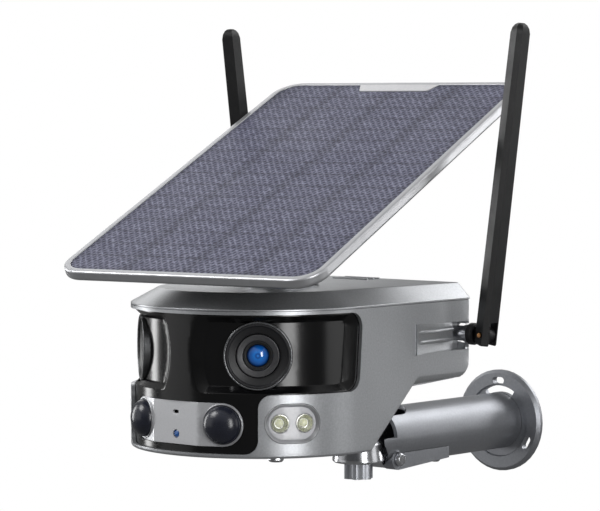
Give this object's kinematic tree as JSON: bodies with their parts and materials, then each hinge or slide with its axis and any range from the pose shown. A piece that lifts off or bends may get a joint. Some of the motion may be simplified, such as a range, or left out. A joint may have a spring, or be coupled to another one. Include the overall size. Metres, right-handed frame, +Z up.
{
  "type": "solar security camera",
  "caption": "Twin-lens outdoor camera with a curved black visor, a solar panel on a tilting swivel post, folding antennas and a tubular wall arm with a tilting elbow.",
  "frame": {"origin": "centre of the wall flange's back face", "axes": "+Y out of the flange's back into the wall, +Z up, so the camera looks along -Y and +X is on its left as it looks out"},
  "size_m": [0.2388, 0.3383, 0.2885],
  "materials": {
    "cast_bracket": "satin metallic grey paint over cast aluminium",
    "bright_metal": "polished nickel-plated steel",
    "silver_case": "satin silver metallic paint on moulded ABS",
    "black_visor": "piano-black polycarbonate",
    "lens_black": "fine matt black polycarbonate",
    "lens_grey": "satin grey polycarbonate",
    "lens_glass": "polished coated glass",
    "sensor_dome": "smooth dark polyethylene",
    "light_window": "frosted clear polycarbonate",
    "led_emitter": "moulded reflector with yellow phosphor",
    "solar_cells": "embossed PET laminate over silicon cells",
    "panel_aluminium": "satin anodised",
    "black_plastic": "fine-textured black ABS",
    "black_rubber": "matt silicone rubber",
    "circuit_board": "solder mask over glass epoxy",
    "battery_wrap": "shrink sleeve",
    "brass": "turned"
  },
  "bodies": {
    "wall_bracket": {"wall_flange": "cast_bracket", "arm_tube": "cast_bracket", "hinge_cheek_right": "cast_bracket", "hinge_cheek_left": "cast_bracket", "hinge_bolt": "bright_metal", "hinge_nut": "bright_metal", "arm_set_screw": "bright_metal"},
    "elbow": {"elbow_head": "bright_metal"},
    "clamp": {"clamp_knob": "cast_bracket", "clamp_stud": "bright_metal"},
    "camera": {"housing_shell": "silver_case", "top_cover": "silver_case", "case_screw_1": "bright_metal", "case_screw_2": "bright_metal", "case_screw_3": "bright_metal", "case_screw_4": "bright_metal", "pedestal": "silver_case", "visor": "black_visor", "sensor_plate": "silver_case", "lens_bezel_right": "lens_black", "lens_bezel_left": "lens_black", "lens_barrel_right": "lens_grey", "lens_barrel_left": "lens_grey", "lens_glass_right": "lens_glass", "lens_glass_left": "lens_glass", "pir_dome_right": "sensor_dome", "pir_dome_left": "sensor_dome", "light_window_right": "light_window", "light_window_left": "light_window", "led_emitter_right_1": "led_emitter", "led_emitter_right_2": "led_emitter", "led_emitter_left_1": "led_emitter", "led_emitter_left_2": "led_emitter", "status_led": "lens_glass", "main_board": "circuit_board", "battery_cell_1": "battery_wrap", "battery_cell_2": "battery_wrap", "battery_cell_3": "battery_wrap", "speaker": "black_rubber", "power_inlet": "black_plastic", "antenna_socket_right": "bright_metal", "antenna_socket_left": "bright_metal", "swivel_base": "silver_case"},
    "power_button": {"power_button": "black_rubber"},
    "port_cover": {"port_cover": "black_rubber"},
    "panel_post": {"swivel_post": "silver_case"},
    "solar_panel": {"panel_frame": "panel_aluminium", "solar_laminate": "solar_cells", "panel_back": "black_plastic", "junction_box": "black_plastic", "cable_gland": "black_rubber", "panel_clevis": "silver_case", "tilt_bolt": "bright_metal"},
    "tilt_knob": {"tilt_knob": "black_plastic"},
    "antenna_base_right": {"antenna_base_right": "black_plastic", "antenna_pin_right": "brass"},
    "antenna_whip_right": {"antenna_whip_right": "black_plastic"},
    "antenna_base_left": {"antenna_base_left": "black_plastic", "antenna_pin_left": "brass"},
    "antenna_whip_left": {"antenna_whip_left": "black_plastic"}
  },
  "joints": [
    {"name": "camera_tilt", "type": "hinge", "parent": "wall_bracket", "child": "elbow", "pos_m": [0, -0.1288, -0.013], "axis": [1, 0, 0], "range_deg": [-15, 60]},
    {"name": "camera_pan", "type": "hinge", "parent": "elbow", "child": "camera", "pos_m": [0, -0.1488, 0.0056], "axis": [0, 0, 1], "range_deg": [-90, 90]},
    {"name": "clamp_knob_turn", "type": "hinge", "parent": "elbow", "child": "clamp", "pos_m": [0, -0.1488, -0.0194], "axis": [0, 0, 1], "range_deg": [-360, 0]},
    {"name": "power_button_press", "type": "slide", "parent": "camera", "child": "power_button", "axis": [0, -1, 0], "range_m": [0, 0.001], "stiffness_N_per_m": 600, "springref_m": -0.0005},
    {"name": "port_cover_open", "type": "hinge", "parent": "camera", "child": "port_cover", "pos_m": [0.01, -0.1339, 0.0596], "axis": [-1, 0, 0], "range_deg": [0, 100]},
    {"name": "panel_pan", "type": "hinge", "parent": "camera", "child": "panel_post", "pos_m": [0, -0.2218, 0.1056], "axis": [0, 0, 1], "range_deg": [-11, 0]},
    {"name": "panel_tilt", "type": "hinge", "parent": "panel_post", "child": "solar_panel", "pos_m": [0, -0.2218, 0.1336], "axis": [0.9913, 0.1317, 0], "range_deg": [-2, 8]},
    {"name": "tilt_knob_turn", "type": "hinge", "parent": "solar_panel", "child": "tilt_knob", "pos_m": [0, -0.2218, 0.1336], "axis": [0.9913, 0.1317, 0], "range_deg": [-360, 0]},
    {"name": "antenna_swivel_right", "type": "hinge", "parent": "camera", "child": "antenna_base_right", "pos_m": [0.08, -0.1384, 0.0691], "axis": [-1, 0, 0], "range_deg": [-90, 40]},
    {"name": "antenna_fold_right", "type": "hinge", "parent": "antenna_base_right", "child": "antenna_whip_right", "pos_m": [0.0906, -0.1384, 0.0691], "axis": [0, 1, 0], "range_deg": [0, 82]},
    {"name": "antenna_swivel_left", "type": "hinge", "parent": "camera", "child": "antenna_base_left", "pos_m": [-0.08, -0.1384, 0.0691], "axis": [-1, 0, 0], "range_deg": [-90, 40]},
    {"name": "antenna_fold_left", "type": "hinge", "parent": "antenna_base_left", "child": "antenna_whip_left", "pos_m": [-0.0906, -0.1384, 0.0691], "axis": [0, -1, 0], "range_deg": [0, 82]}
  ]
}
